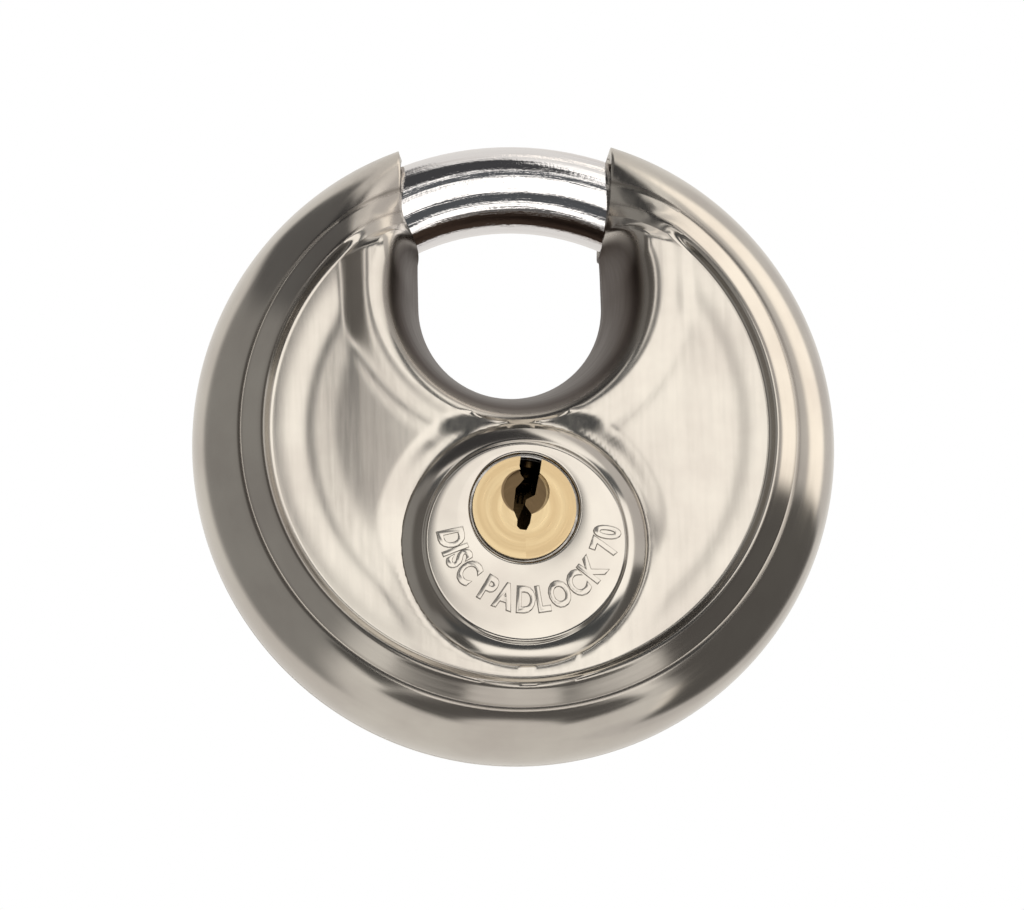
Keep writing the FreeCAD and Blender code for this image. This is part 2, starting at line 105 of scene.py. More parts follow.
# ---- shader helpers
class Tree:
    def __init__(self, tree):
        self.tree = tree
        tree.nodes.clear()

    def add(self, kind, inputs=None, **settings):
        node = self.tree.nodes.new(kind)
        for key, value in settings.items():
            setattr(node, key, value)
        for key, value in (inputs or {}).items():
            if isinstance(value, bpy.types.NodeSocket):
                self.tree.links.new(value, node.inputs[key])
            else:
                node.inputs[key].default_value = value
        return node

    def math(self, operation, *values):
        return self.add("ShaderNodeMath", dict(enumerate(values)), operation=operation).outputs[0]

    def ramp(self, value, low, high, toLow=0.0, toHigh=1.0):
        limits = {"Value": value, "From Min": low, "From Max": high, "To Min": toLow, "To Max": toHigh}
        return self.add("ShaderNodeMapRange", limits, interpolation_type="SMOOTHSTEP").outputs["Result"]

    def mixColor(self, factor, a, b, blend="MIX"):
        node = self.tree.nodes.new("ShaderNodeMix")
        node.data_type = "RGBA"
        node.blend_type = blend
        for key, value in ((0, factor), (6, a), (7, b)):
            if isinstance(value, bpy.types.NodeSocket):
                self.tree.links.new(value, node.inputs[key])
            else:
                node.inputs[key].default_value = value
        return node.outputs[2]


def newGroup(name, inputs, outputs):
    group = bpy.data.node_groups.new(name, "ShaderNodeTree")
    tree = Tree(group)
    for label, kind, value in inputs:
        socket = group.interface.new_socket(label, in_out="INPUT", socket_type=kind)
        if value is not None:
            socket.default_value = value
    for label, kind in outputs:
        group.interface.new_socket(label, in_out="OUTPUT", socket_type=kind)
    return group, tree, tree.add("NodeGroupInput").outputs


def placeGroup(t, group, **inputs):
    node = t.tree.nodes.new("ShaderNodeGroup")
    node.node_tree = group
    for key, value in inputs.items():
        label = key.replace("_", " ")
        if isinstance(value, bpy.types.NodeSocket):
            t.tree.links.new(value, node.inputs[label])
        else:
            node.inputs[label].default_value = value
    return node.outputs


# scratches and cloudiness: a patchy mask and fine drawn lines, stretched along one axis of the coordinates
def makeGrainGroup():
    group, t, given = newGroup("drawnGrain", (("Vector", "NodeSocketVector", None),
                                              ("Line scale", "NodeSocketFloat", 900.0),
                                              ("Cloud scale", "NodeSocketFloat", 120.0),
                                              ("Stretch", "NodeSocketVector", (1.0, 1.0, 0.05))),
                               (("Lines", "NodeSocketFloat"), ("Clouds", "NodeSocketFloat")))
    pulled = t.add("ShaderNodeVectorMath", {0: given["Vector"], 1: given["Stretch"]}, operation="MULTIPLY")
    lines = t.add("ShaderNodeTexNoise", {"Vector": pulled.outputs[0], "Scale": given["Line scale"],
                                         "Detail": 3.0, "Roughness": 0.6})
    clouds = t.add("ShaderNodeTexNoise", {"Vector": given["Vector"], "Scale": given["Cloud scale"],
                                          "Detail": 4.0, "Roughness": 0.55})
    t.add("NodeGroupOutput", {"Lines": lines.outputs[0], "Clouds": clouds.outputs[0]})
    return group


grainGroup = makeGrainGroup()


def openMaterial(name):
    material = bpy.data.materials.new(name)
    material.use_nodes = True
    t = Tree(material.node_tree)
    return material, t, t.add("ShaderNodeTexCoord").outputs["Object"]


def closeMetal(t, material, tone, rough, height, strength, depth=0.02 * mm):
    bump = t.add("ShaderNodeBump", {"Strength": strength, "Distance": depth, "Height": height})
    surface = t.add("ShaderNodeBsdfPrincipled", {"Base Color": tone, "Roughness": rough, "Metallic": 1.0,
                                                 "Normal": bump.outputs[0]})
    t.add("ShaderNodeOutputMaterial", {"Surface": surface.outputs[0]})
    return material


def metalMaterial(name, values):
    material, t, where = openMaterial(name)
    grain = placeGroup(t, grainGroup, Vector=where, Line_scale=values["lineScale"],
                       Cloud_scale=values["cloudScale"], Stretch=values["stretch"])
    tone = t.mixColor(t.ramp(grain["Clouds"], 0.35, 0.65), values["darkTone"], values["lightTone"])
    rough = t.ramp(grain["Lines"], 0.35, 0.65, values["roughLow"], values["roughHigh"])
    return closeMetal(t, material, tone, rough, grain["Lines"], values["bump"])


castingSet = {"darkTone": (0.20, 0.19, 0.18, 1), "lightTone": (0.32, 0.31, 0.30, 1),
              "lineScale": 1500.0, "cloudScale": 500.0, "stretch": (1.0, 1.0, 1.0),
              "roughLow": 0.45, "roughHigh": 0.65, "bump": 0.8}
steelSet = {"darkTone": (0.36, 0.35, 0.34, 1), "lightTone": (0.52, 0.51, 0.50, 1),
            "lineScale": 1100.0, "cloudScale": 300.0, "stretch": (1.0, 1.0, 1.0),
            "roughLow": 0.25, "roughHigh": 0.40, "bump": 0.3}
casting = metalMaterial("castZinc", castingSet)
steel = metalMaterial("plainSteel", steelSet)


# coordinates that follow a ring about the given centre: distance along the ring, radius, depth
def makeRingGroup():
    group, t, given = newGroup("ringCoordinates", (("Vector", "NodeSocketVector", None),
                                                   ("Centre", "NodeSocketVector", (0.0, 0.0, 0.0)),
                                                   ("Along", "NodeSocketFloat", 0.03)),
                               (("Vector", "NodeSocketVector"), ("Radius", "NodeSocketFloat")))
    local = t.add("ShaderNodeVectorMath", {0: given["Vector"], 1: given["Centre"]}, operation="SUBTRACT")
    parts = t.add("ShaderNodeSeparateXYZ", {0: local.outputs[0]}).outputs
    flat = t.add("ShaderNodeCombineXYZ", {0: parts[0], 1: 0.0, 2: parts[2]}).outputs[0]
    radius = t.add("ShaderNodeVectorMath", {0: flat}, operation="LENGTH").outputs["Value"]
    around = t.math("MULTIPLY", t.math("ARCTAN2", parts[0], parts[2]), given["Along"])
    both = t.add("ShaderNodeCombineXYZ", {0: around, 1: radius, 2: parts[1]}).outputs[0]
    t.add("NodeGroupOutput", {"Vector": both, "Radius": radius})
    return group


ringGroup = makeRingGroup()
barSet = {"tone": (0.80, 0.79, 0.80, 1), "stain": (0.50, 0.44, 0.42, 1), "stainScale": 420.0,
          "stainFrom": (0.52, 0.72), "centre": (0, 0, lockCentreZ), "rough": (0.04, 0.10),
          "streakScale": 1900.0, "streakPull": 0.0010, "streakBump": 0.5, "streakDepth": 0.07 * mm,
          "pitScale": 2600.0, "pitShare": 0.35}
# the recess tone is painted shade, a darker disc round the recess in the plug's face
brassSet = {"tone": (0.72, 0.57, 0.34, 1), "dull": (0.62, 0.47, 0.27, 1), "recess": (0.20, 0.14, 0.08, 1),
            "dullScale": 900.0, "centre": (0, 0, -0.0327), "rough": (0.27, 0.36),
            "turnScale": 4200.0, "turnPull": 0.0002, "turnBump": 0.22,
            # the inside tone is painted shade, near black further into the lock
            "recessCentre": (0, 0, -0.031), "recessR": 0.00243, "inside": (0.07, 0.045, 0.02, 1),
            "insideShadeFrom": (-0.0124, -0.0116)}


def makeBarMaterial(values):
    material, t, where = openMaterial("barChrome")
    ring = placeGroup(t, ringGroup, Vector=where, Centre=values["centre"], Along=values["streakPull"])
    streaks = placeGroup(t, grainGroup, Vector=ring["Vector"], Line_scale=values["streakScale"],
                         Cloud_scale=values["stainScale"], Stretch=(1.0, 1.0, 1.0))
    pitInputs = {"Vector": where, "Scale": values["pitScale"], "Detail": 2.0}
    pits = t.add("ShaderNodeTexNoise", pitInputs).outputs[0]
    tone = t.mixColor(t.ramp(streaks["Clouds"], *values["stainFrom"]), values["tone"], values["stain"])
    rough = t.ramp(streaks["Lines"], 0.3, 0.7, *values["rough"])
    height = t.math("MULTIPLY_ADD", pits, values["pitShare"], streaks["Lines"])
    return closeMetal(t, material, tone, rough, height, values["streakBump"], values["streakDepth"])


def makeBrassMaterial(values):
    material, t, where = openMaterial("plugBrass")
    ring = placeGroup(t, ringGroup, Vector=where, Centre=values["centre"], Along=values["turnPull"])
    turned = placeGroup(t, grainGroup, Vector=ring["Vector"], Line_scale=values["turnScale"],
                        Cloud_scale=values["dullScale"], Stretch=(1.0, 1.0, 0.1))
    tone = t.mixColor(t.ramp(turned["Clouds"], 0.4, 0.65), values["tone"], values["dull"])
    # painted shade: a darker disc round the recess in the plug's face
    recess = placeGroup(t, ringGroup, Vector=where, Centre=values["recessCentre"])
    edge = 0.05 * mm
    recessShadeMask = t.ramp(recess["Radius"], values["recessR"] - edge, values["recessR"] + edge, 1.0, 0.0)
    tone = t.mixColor(recessShadeMask, tone, values["recess"])
    # painted shade: the plug darkens to near black further into the lock
    deep = t.ramp(t.add("ShaderNodeSeparateXYZ", {0: where}).outputs[1], *values["insideShadeFrom"])
    tone = t.mixColor(deep, tone, values["inside"])
    rough = t.ramp(turned["Lines"], 0.3, 0.7, *values["rough"])
    return closeMetal(t, material, tone, rough, turned["Lines"], values["turnBump"])


chrome = makeBarMaterial(barSet)
brass = makeBrassMaterial(brassSet)

# pressed stainless: buffed round the rim, satin with an upright grain in the sunk panels, dull in the folds,
# which are also darkened with painted shade, as are the crease and the shoulder
shellSet = {"darkTone": (0.53, 0.495, 0.455, 1), "lightTone": (0.61, 0.58, 0.53, 1),
            # the next tone is painted shade for the fold, the crease and the shoulder; the roughness beside
            # it is their dull finish
            "foldShadeTone": (0.062, 0.042, 0.032, 1), "rawRough": 0.25,
            "rimRough": (0.12, 0.17), "panelRough": (0.19, 0.25), "bump": 0.12,
            "uprightScale": 1500.0, "uprightStretch": (1.0, 1.0, 0.06), "cloudScale": 90.0,
            "buffScale": 1.0, "buffStretch": (0.05, 1.6, 1.0)}


def makeShellMaterial(values):
    material, t, where = openMaterial("pressedStainless")
    path, satin, shadeAndDull = (t.add("ShaderNodeAttribute", attribute_name=name, attribute_type="GEOMETRY").outputs
                        for name in ("path", "satin", "shadeAndDull"))
    upright = placeGroup(t, grainGroup, Vector=where, Line_scale=values["uprightScale"],
                         Cloud_scale=values["cloudScale"], Stretch=values["uprightStretch"])
    buffed = placeGroup(t, grainGroup, Vector=path["Vector"], Line_scale=values["buffScale"],
                        Stretch=values["buffStretch"])
    tone = t.mixColor(t.ramp(upright["Clouds"], 0.3, 0.7), values["darkTone"], values["lightTone"])
    # painted shade: the fold, the crease and the shoulder are darkened towards a near black brown
    tone = t.mixColor(shadeAndDull["Fac"], tone, values["foldShadeTone"])
    rimRough = t.ramp(buffed["Lines"], 0.3, 0.7, *values["rimRough"])
    panelRough = t.ramp(upright["Lines"], 0.3, 0.7, *values["panelRough"])
    rough = t.math("MULTIPLY_ADD", t.math("SUBTRACT", panelRough, rimRough), satin["Fac"], rimRough)
    rough = t.math("MULTIPLY_ADD", shadeAndDull["Fac"], values["rawRough"], rough)
    height = t.math("MULTIPLY", upright["Lines"], satin["Fac"])
    return closeMetal(t, material, tone, rough, height, values["bump"])


stainless = makeShellMaterial(shellSet)
print("stage: materials")


# ---- pressed shells, millimetres from the disc's centre: x right, z up, depth towards the outside
shellShape = {
    "discR": 34.96, "rimArcR": 11.9, "creaseAngle": 54.6, "creaseR": 30.0, "creaseDepth": 9.45,
    "shoulderR": 27.6, "faceDepth": 12.0, "panelR": 26.4, "panelDrop": 1.0, "panelTop": (19.5, 23.5),
    "dome": 1.1, "dish": 0.35, "dishR": 22.5, "dishWidth": 2.2, "cornerSoft": 0.12,
    "notchHalf": 10.0, "notchZ": 15.2, "lipZ": 16.2, "lipIn": 5.7, "lipOut": 9.2,
    "foldReach": (0, 1.6, 2.6, 5.5), "foldDepth": (0.04, 7.5, 12.0, 12.0), "lipEnd": 5.9, "sideLean": 0.12,
    "foldAngle": 46, "lipAngle": 50, "panelAngle": 64,  # where the rails end round the mouth of a horn
    "mouthX": 11.4, "mouthZ": 26.8, "mouthHalf": 6.38, "mouthDepth": 6.15, "hornReach": 5.5, "rimReach": 8.0,
    "edgeX": 9.9, "edgeZ": 20.4, "edgeLean": 0.135, "edgeFlare": 1.9, "flareZ": 25.5,
    "bossZ": -12.5, "plugZ": -8.9, "moatR": (13.2, 16.0), "moatDepth": 11.25, "saddle": 0.35,
    "wall": 1.1, "columns": 330, "fineEnds": 0.3, "sidePart": 0.16, "ragged": 0.10,
    "ringLength": 190.0, "rowWidth": 0.5,  # what the buffing lines take one turn and one row to measure
}
rowCounts = {"wall": 24, "lip": 3, "panel": 40, "step": 7, "band": 9, "rim": 26}
# dents by the horns: x, z, width, height, depth; a dimple on the right and a faint wrinkle on the left
dents = ((15.0, 23.3, 1.9, 1.2, 0.34), (-14.2, 24.2, 0.9, 0.6, 0.06))


# the cut edge of a horn: the right one leans a little, the left one flares
def mouthX(shape, z, left):
    leaning = shape["edgeX"] + shape["edgeLean"] * (z - shape["edgeZ"])
    flaring = shape["edgeX"] + shape["edgeFlare"] * smooth(z, shape["edgeZ"], shape["flareZ"])
    return np.where(left, flaring, leaning)


def bezier(t, points):
    a, b, c, d = points
    return a * (1 - t) ** 3 + 3 * b * t * (1 - t) ** 2 + 3 * c * t * t * (1 - t) + d * t ** 3


# each row across the shell: the rail it is on, the rail's size, its plain depth, its angle round the mouth
def shellRows(shape):
    def shares(part):
        return (i / rowCounts[part] for i in range(rowCounts[part]))

    fold, lip, panel = shape["foldAngle"], shape["lipAngle"], shape["panelAngle"]
    lipStart = shape["foldReach"][-1]
    rimCentre = shape["discR"] - shape["rimArcR"]
    rows = [("notch", bezier(t, shape["foldReach"]), bezier(t, shape["foldDepth"]), fold * t)
            for t in shares("wall")]
    rows += [("notch", lipStart + (shape["lipEnd"] - lipStart) * t, None, fold + (lip - fold) * t)
             for t in shares("lip")]
    rows += [("between", t, None, lip + (panel - lip) * t) for t in shares("panel")]
    for part, start, end in (("step", shape["panelR"], shape["shoulderR"]),
                             ("band", shape["shoulderR"], shape["creaseR"])):
        rows += [("circle", start + (end - start) * t, None, None) for t in shares(part)]
    for t in [*shares("rim"), 1]:
        angle = math.radians(shape["creaseAngle"] * (1 - t))
        radius = rimCentre + shape["rimArcR"] * math.cos(angle)
        rows.append(("circle", radius, shape["rimArcR"] * math.sin(angle), None))
    return rows


# a ring about the disc's centre, from the right horn's cut edge round the bottom to the left one's
def circleRail(shape, radius, s):
    ends = []
    for left in (False, True):
        z = np.full_like(s, radius * 0.93)  # a first guess, which the next lines close in from
        for _ in range(6):
            z = np.sqrt(np.maximum(radius ** 2 - mouthX(shape, z, left) ** 2, 0))
        ends.append(np.arctan2(mouthX(shape, z, left), z))
    angle = ends[0] + s * (2 * math.pi - ends[0] - ends[1])
    return radius * np.sin(angle), radius * np.cos(angle)


# a U round the notch, q outside its edge: a curved side, a half circle, a curved side
def notchRail(shape, q, mouthAngle, s):
    part = shape["sidePart"]
    half = shape["notchHalf"] + q
    centre = shape["notchZ"] + (shape["lipZ"] - shape["notchZ"]) * smooth(q, 3.0, 6.5)
    left = s > 0.5
    endZ = shape["mouthZ"] - shape["mouthHalf"] * math.cos(math.radians(mouthAngle))
    endX = mouthX(shape, np.full_like(s, endZ), left)
    cornerZ = endZ - shape["sideLean"] * q
    t = np.clip(np.minimum(s, 1 - s) / part, 0, 1)
    sideX = endX * (1 - t) ** 2 + half * 2 * t * (1 - t) + half * t * t
    sideZ = endZ * (1 - t) ** 2 + cornerZ * 2 * t * (1 - t) + centre * t * t
    turn = np.clip((s - part) / (1 - 2 * part), 0, 1) * math.pi
    onSide = (s < part) | (s > 1 - part)
    x = np.where(onSide, np.where(left, -sideX, sideX), half * np.cos(turn))
    z = np.where(onSide, sideZ, centre - half * np.sin(turn))
    return x, z


# depth of the face inside the crease: the domed face, the two sunk crescents and the sloping band
def faceDepth(shape, x, z):
    r = np.hypot(x, z)
    q = np.hypot(x, np.minimum(z - shape["lipZ"], 0)) - shape["notchHalf"]
    bossR = np.hypot(x, z - shape["bossZ"])
    sunk = 1 - smooth(r, shape["panelR"] + 0.15, shape["shoulderR"] - 0.1)
    sunk = sunk * smooth(q, shape["lipIn"], shape["lipOut"]) * (1 - smooth(z, *shape["panelTop"]))
    dome = shape["dome"] * (1 - np.clip(r / shape["panelR"], 0, 1) ** 2) * smooth(q, 5.0, 10.0)
    dish = shape["dish"] * np.exp(-((r - shape["dishR"]) / shape["dishWidth"]) ** 2) * smooth(q, 6.0, 10.0)
    depth = shape["faceDepth"] - shape["panelDrop"] * sunk + dome - dish
    # the valley round the boss, a little higher at the saddle under the notch, and hidden under the boss
    moat = 1 - smooth(bossR, *shape["moatR"])
    foot = shape["moatDepth"] + shape["saddle"] * (1 - smooth(q, 5, 8))
    depth = depth + (foot - depth) * moat - 0.9 * np.clip(13.1 - bossR, 0, 1.5)
    fall = (shape["faceDepth"] - shape["creaseDepth"]) / (shape["creaseR"] - shape["shoulderR"])
    band = shape["faceDepth"] - fall * (r - shape["shoulderR"])
    soft = shape["cornerSoft"]
    mixed = -soft * np.logaddexp(-depth / soft, -band / soft)
    return np.where(r > 24, mixed, depth)


# how far each point of a row is from the nearer cut edge, along the row
def reachAlong(x, z, s):
    order = np.argsort(s)
    steps = np.hypot(np.diff(x[order]), np.diff(z[order]))
    along = np.concatenate(([0.0], np.cumsum(steps)))
    reach = np.empty_like(along)
    reach[order] = np.minimum(along, along[-1] - along)
    return reach


# the mouth's depth where a ring of this size meets the cut edge, as an angle round the mouth
def rimMouthAngle(shape, size):
    rise = math.sqrt(size ** 2 - shape["mouthX"] ** 2) - shape["mouthZ"]
    half = math.sqrt(shape["discR"] ** 2 - shape["mouthX"] ** 2) - shape["mouthZ"]
    return math.degrees(math.acos(max(-1, min(1, -rise / half))))


def mapShell(shape, vertices):
    rows = shellRows(shape)
    i = (vertices[:, 0] + 1) / 2
    s = i - shape["fineEnds"] / (2 * math.pi) * np.sin(2 * math.pi * i)
    row = np.rint((vertices[:, 1] + 1) / 2 * (len(rows) - 1)).astype(int)
    out = np.zeros((len(vertices), 3))
    lipX, lipZ = notchRail(shape, shape["lipEnd"], shape["lipAngle"], s)
    edgeX, edgeZ = circleRail(shape, shape["panelR"], s)
    for n, (kind, size, depth, mouthAngle) in enumerate(rows):
        here = row == n
        if kind == "notch":
            x, z = notchRail(shape, size, mouthAngle, s[here])
        elif kind == "between":
            x = lipX[here] * (1 - size) + edgeX[here] * size
            z = lipZ[here] * (1 - size) + edgeZ[here] * size
        else:
            x, z = circleRail(shape, size, s[here])
            mouthAngle = rimMouthAngle(shape, size)
        d = faceDepth(shape, x, z) if depth is None else np.full_like(x, depth)
        mouthD = shape["mouthDepth"] * max(math.sin(math.radians(mouthAngle)), 0) ** 0.9
        outward = np.clip((n - rowCounts["wall"]) / (len(rows) - rowCounts["wall"]), 0, 1)
        reach = reachAlong(x, z, s[here])
        t = np.clip(reach / (shape["hornReach"] + shape["rimReach"] * outward), 0, 1)
        d = mouthD + (d - mouthD) * (1 - (1 - t) ** 2.3)
        out[here] = np.stack((x, d, z), axis=1)
    x, d, z = out.T
    for dentX, dentZ, wide, tall, deep in dents:
        near = np.exp(-((x - dentX) / wide) ** 2 - ((z - dentZ) / tall) ** 2)
        out[:, 1] -= deep * near * smooth(d, 3.0, 7.0)
    return out, row, s


# how dull each point is and how much painted shade it takes: unbuffed and dull in the fold and darkened
# there with painted shade, and a faint painted dark line of shade along the crease and the shoulder
def shadeAndDullShare(rows):
    crease = sum(rowCounts[part] for part in ("wall", "lip", "panel", "step", "band"))
    shoulder = crease - rowCounts["band"]
    shadeAndDull = 1 - smooth(rows, 14, 24)
    for line, strength in ((crease - 0.3, 0.6), (shoulder, 0.35)):
        shadeAndDull = np.maximum(shadeAndDull, strength * np.exp(-((rows - line) / 0.8) ** 2))
    return shadeAndDull


# how satin each point is: the sunk panels and the folds beside the mouths
def satinShare(places, rows):
    r = np.hypot(places[:, 0], places[:, 2])
    inPanel = (1 - smooth(r, 26.3, 27.4)) * smooth(rows, 18, 27)
    nearMouth = smooth(places[:, 2], 17, 23) * (1 - smooth(np.abs(places[:, 0]), 14, 22))
    return np.maximum(inPanel, nearMouth)


def addShellSheet(bm, shape, side):
    total = len(shellRows(shape)) - 1
    bmesh.ops.create_grid(bm, x_segments=shape["columns"], y_segments=total, size=1)
    flat = np.array([v.co[:] for v in bm.verts])
    places, rows, s = mapShell(shape, flat)
    for name in ("satin", "shadeAndDull"):
        bm.verts.layers.float.new(name)
    # the layers are read after all exist, because adding one moves the others
    path = bm.verts.layers.float_vector.new("path")
    satin = bm.verts.layers.float["satin"]
    shadeAndDull = bm.verts.layers.float["shadeAndDull"]
    # dull carries the painted shade of the fold, the crease and the shoulder as well as their dullness
    for vert, place, row, along, matt, dull in zip(bm.verts, places, rows, s, satinShare(places, rows),
                                                   shadeAndDullShare(rows)):
        x, d, z = place
        if row == 0:
            d += abs(shape["ragged"] * noise.noise(Vector((x, z, 0)) * 2.0))
        vert.co = (x * mm, side * d * mm, z * mm + lockCentreZ)
        vert[satin] = float(matt)
        vert[shadeAndDull] = float(dull)
        vert[path] = (along * shape["ringLength"], float(row) * shape["rowWidth"], 0.0)
    # the sheet is opened where the boss stands on it
    bossZ = shape["bossZ"] * mm + lockCentreZ
    inside = []
    for face in bm.faces:
        middle = face.calc_center_median()
        if math.hypot(middle.x, middle.z - bossZ) < 11.6 * mm and abs(middle.y) > 8 * mm:
            inside.append(face)
    bmesh.ops.delete(bm, geom=inside, context="FACES")


# the round boss: its soft slope, a small step, and the start of the flat top, as radius and depth
bossProfile = ((13.6, 10.4), (13.15, 11.08), (12.95, 11.32), (12.6, 11.6), (12.2, 11.88), (11.8, 12.13),
               (11.4, 12.33), (11.15, 12.42), (11.0, 12.47), (10.92, 12.52), (10.82, 12.63), (10.72, 12.75),
               (10.58, 12.86), (10.45, 12.92), (10.3, 12.94))
holeEdge = ((6.2, 12.94), (6.05, 12.92), (5.92, 12.86), (5.82, 12.74), (5.78, 12.55), (5.78, 12.1))
roundSteps = 160


def addBossSlope(bm, shape, side):
    centre = (0, 0, shape["bossZ"] * mm + lockCentreZ)
    verts = [bm.verts.new((r * mm, side * d * mm, centre[2])) for r, d in bossProfile]
    edges = [bm.edges.new(pair) for pair in zip(verts, verts[1:])]
    bmesh.ops.spin(bm, geom=verts + edges, cent=centre, axis=(0, 1, 0), dvec=(0, 0, 0), angle=2 * math.pi,
                   steps=roundSteps, use_merge=True)


# the flat top: a ring from the step to the keyhole, whose centre is higher than the boss's
def addBossTop(bm, shape, side, withHole):
    bossZ = shape["bossZ"]
    start, flat = bossProfile[-1]
    holeZ = shape["plugZ"] if withHole else bossZ
    inner = holeEdge if withHole else ((3.0, flat), (0.001, flat))
    rings = []
    for t in (0, 0.25, 0.5, 0.75):
        rings.append((start + (inner[0][0] - start) * t, bossZ + (holeZ - bossZ) * t, flat))
    rings += [(r, holeZ, d) for r, d in inner]
    made = bmesh.ops.create_grid(bm, x_segments=roundSteps, y_segments=len(rings) - 1, size=1)
    for vert in made["verts"]:
        r, z, d = rings[round((vert.co.y + 1) / 2 * (len(rings) - 1))]
        angle = math.pi * vert.co.x
        vert.co = (r * math.sin(angle) * mm, side * d * mm, (z + r * math.cos(angle)) * mm + lockCentreZ)


def orient(bm, side):
    total = sum((f.normal.y * side * f.calc_area() for f in bm.faces), 0.0)
    if total < 0:
        bmesh.ops.reverse_faces(bm, faces=list(bm.faces))


def joinParts(parts, side):
    whole = bmesh.new()
    for name in ("satin", "shadeAndDull"):
        whole.verts.layers.float.new(name)
    whole.verts.layers.float_vector.new("path")
    for part in parts:
        bmesh.ops.remove_doubles(part, verts=list(part.verts), dist=2e-6)
        part.normal_update()
        bmesh.ops.recalc_face_normals(part, faces=list(part.faces))
        orient(part, side)
        mesh = bpy.data.meshes.new("part")
        part.to_mesh(mesh)
        part.free()
        whole.from_mesh(mesh)
        bpy.data.meshes.remove(mesh)
    bmesh.ops.remove_doubles(whole, verts=list(whole.verts), dist=4e-6)
    return whole


def makeShell(name, node, side, shape, withHole):
    sheet, slope, top = bmesh.new(), bmesh.new(), bmesh.new()
    addShellSheet(sheet, shape, side)
    addBossSlope(slope, shape, side)
    addBossTop(top, shape, side, withHole)
    piece = finishMesh(joinParts((sheet, slope, top), side), name, "body", stainless)
    wall = piece.modifiers.new("wall", "SOLIDIFY")
    wall.thickness = shape["wall"] * mm
    wall.offset = -1
    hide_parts(node)


makeShell("front_shell_pressed", "front_shell", -1, shellShape, True)
makeShell("rear_shell_pressed", "rear_shell", 1, shellShape, False)
print("stage: shells")


# ---- raised lettering round the plug, a plain description of the part
textSet = {"words": "DISC PADLOCK 70", "radius": 8.35, "centreX": 0.4, "centreZ": -10.4, "size": 3.75,
           "narrow": 0.74, "raise": 0.28, "from": 184.0, "to": 356.0, "bevel": 0.13, "bolder": 0.07,
           "space": 0.9, "front": 13.19}


def makeFont(values):
    font = bpy.data.curves.new("letters", "FONT")
    font.size = values["size"] * mm
    font.extrude = 0.5 * values["raise"] * mm
    font.bevel_depth = values["bevel"] * mm
    font.bevel_resolution = 2
    font.resolution_u = 4
    font.offset = values["bolder"] * mm
    font.align_x = "CENTER"
    return font


# each letter as a mesh, with its width
def makeLetters(values):
    font = makeFont(values)
    letters = []
    for letter in values["words"]:
        font.body = letter
        holder = bpy.data.objects.new("letter", font)
        bpy.context.scene.collection.objects.link(holder)
        bpy.context.view_layer.update()
        mesh = bpy.data.meshes.new_from_object(holder.evaluated_get(bpy.context.evaluated_depsgraph_get()))
        mesh.transform(Matrix.Scale(values["narrow"], 4, (1, 0, 0)))
        across = [v.co.x for v in mesh.vertices]
        letters.append((mesh, values["space"] * mm if letter == " " else max(across) - min(across)))
        bpy.data.objects.remove(holder)
    return letters


def makeText(values):
    letters = makeLetters(values)
    radius = values["radius"] * mm
    start = math.radians(values["from"])
    arc = (math.radians(values["to"]) - start) * radius
    gap = (arc - sum(width for _, width in letters)) / (len(letters) - 1)
    depth = (values["front"] - 0.5 * values["raise"] - values["bevel"]) * mm
    baseline = Matrix.Translation((0, -0.35 * values["size"] * mm, 0))
    upright = Matrix.Rotation(math.pi / 2, 4, "X")
    whole = bmesh.new()
    travelled = 0.0
    for mesh, width in letters:
        angle = start + (travelled + width / 2) / radius
        travelled += width + gap
        x = values["centreX"] * mm + radius * math.cos(angle)
        z = values["centreZ"] * mm + lockCentreZ + radius * math.sin(angle)
        lean = Matrix.Rotation(1.5 * math.pi - angle, 4, "Y")
        mesh.transform(Matrix.Translation((x, -depth, z)) @ lean @ upright @ baseline)
        whole.from_mesh(mesh)
        bpy.data.meshes.remove(mesh)
    bmesh.ops.remove_doubles(whole, verts=list(whole.verts), dist=1e-6)
    finishMesh(whole, "front_lettering", "body", stainless)


makeText(textSet)
print("stage: lettering")


# ---- finishes of the carried-over pieces
def paint(material, *names):
    for name in names:
        piece = nodes[name]
        if not piece.data.materials:
            piece.data.materials.append(material)
        for place in piece.material_slots:
            place.material = material


paint(chrome, "shackle_bar")
paint(brass, "plug")
paint(casting, "inner_body_front", "inner_body_rear", "cylinder_housing")
paint(steel, "dowel_left", "dowel_right", "housing_screws", "chamber_cover", "anti_drill_plate")
paint(steel, "shackle_arm", "arm_rivets", "tail_cam", "cam_washer", "cam_screw")
paint(steel, "crank_pin", "crank_roller", "roller_clip")
for chamber in range(1, 5):
    paint(brass, f"key_pin_{chamber}")
    paint(steel, f"driver_pin_{chamber}", f"pin_spring_{chamber}")
print("stage: finishes")


# ---- studio: white backdrop, soft boxes all round
# each box: azimuth from the front to the right, elevation, half sizes and softness, all in degrees; then its
# colour and brightness
baseLight = {"front": 1.6, "behind": 0.85, "turn": (0.05, 0.6), "tint": (1.0, 0.965, 0.915, 1)}
softBoxes = (
    (-8, 15, 3, 7, 9, (1.0, 0.99, 0.98), 0.22),
    (0, 32, 60, 5, 4, (0.9, 0.95, 1.0), 0.12),
    (5, -29, 60, 11, 5, (0.92, 0.96, 1.0), 0.10),
    (-86, 6, 34, 46, 12, (1.0, 0.97, 0.93), 0.34),
    (77, 10, 17, 55, 5, (1.0, 0.96, 0.92), 0.72),
    (108, 20, 11, 70, 6, (1.0, 0.93, 0.84), 1.6),
    (136, 0, 9, 60, 8, (1.0, 0.96, 0.92), 0.75),
    (98, -27, 36, 22, 5, (1.0, 0.95, 0.90), 0.13),
    (-40, 62, 58, 14, 8, (0.98, 0.97, 1.0), 0.06),
    (-108, 57, 34, 15, 8, (1.0, 0.97, 0.95), 0.15),
    (0, -68, 80, 8, 3, (1.0, 0.95, 0.90), 0.13),
    (-52, -48, 12, 7, 4, (1.0, 0.97, 0.93), 0.10),
    (-42, 2, 13, 24, 9, (1.0, 0.94, 0.88), 0.16),
)


